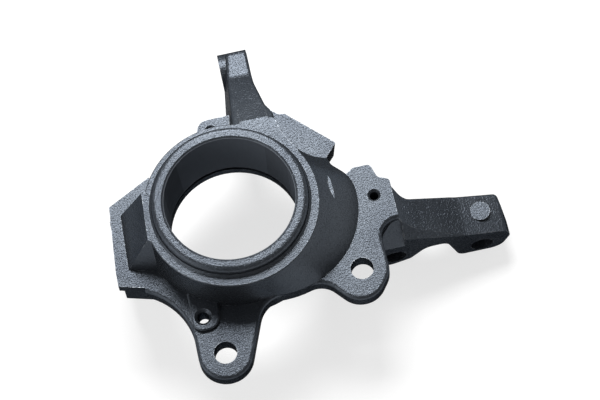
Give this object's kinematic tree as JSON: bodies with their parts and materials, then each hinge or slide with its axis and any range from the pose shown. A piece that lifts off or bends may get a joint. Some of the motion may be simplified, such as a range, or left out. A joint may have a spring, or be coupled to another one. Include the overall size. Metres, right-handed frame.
{
  "type": "steering knuckle",
  "caption": "Cast iron steering knuckle: a hub bearing housing with caliper ears, a strut arm, a steering arm with a tapered eye and a ball joint clamp.",
  "frame": {"origin": "On the hub bearing axis, in the plane of the outboard face of the caliper ears and the flange.", "axes": "+Z points outboard along the hub bearing axis, +X runs up to the strut lugs and +Y back to the tie rod eye."},
  "size_m": [0.2257, 0.2059, 0.0816],
  "materials": {
    "casting": "satin coated"
  },
  "bodies": {
    "root": {"steering_knuckle": "casting"}
  },
  "joints": []
}
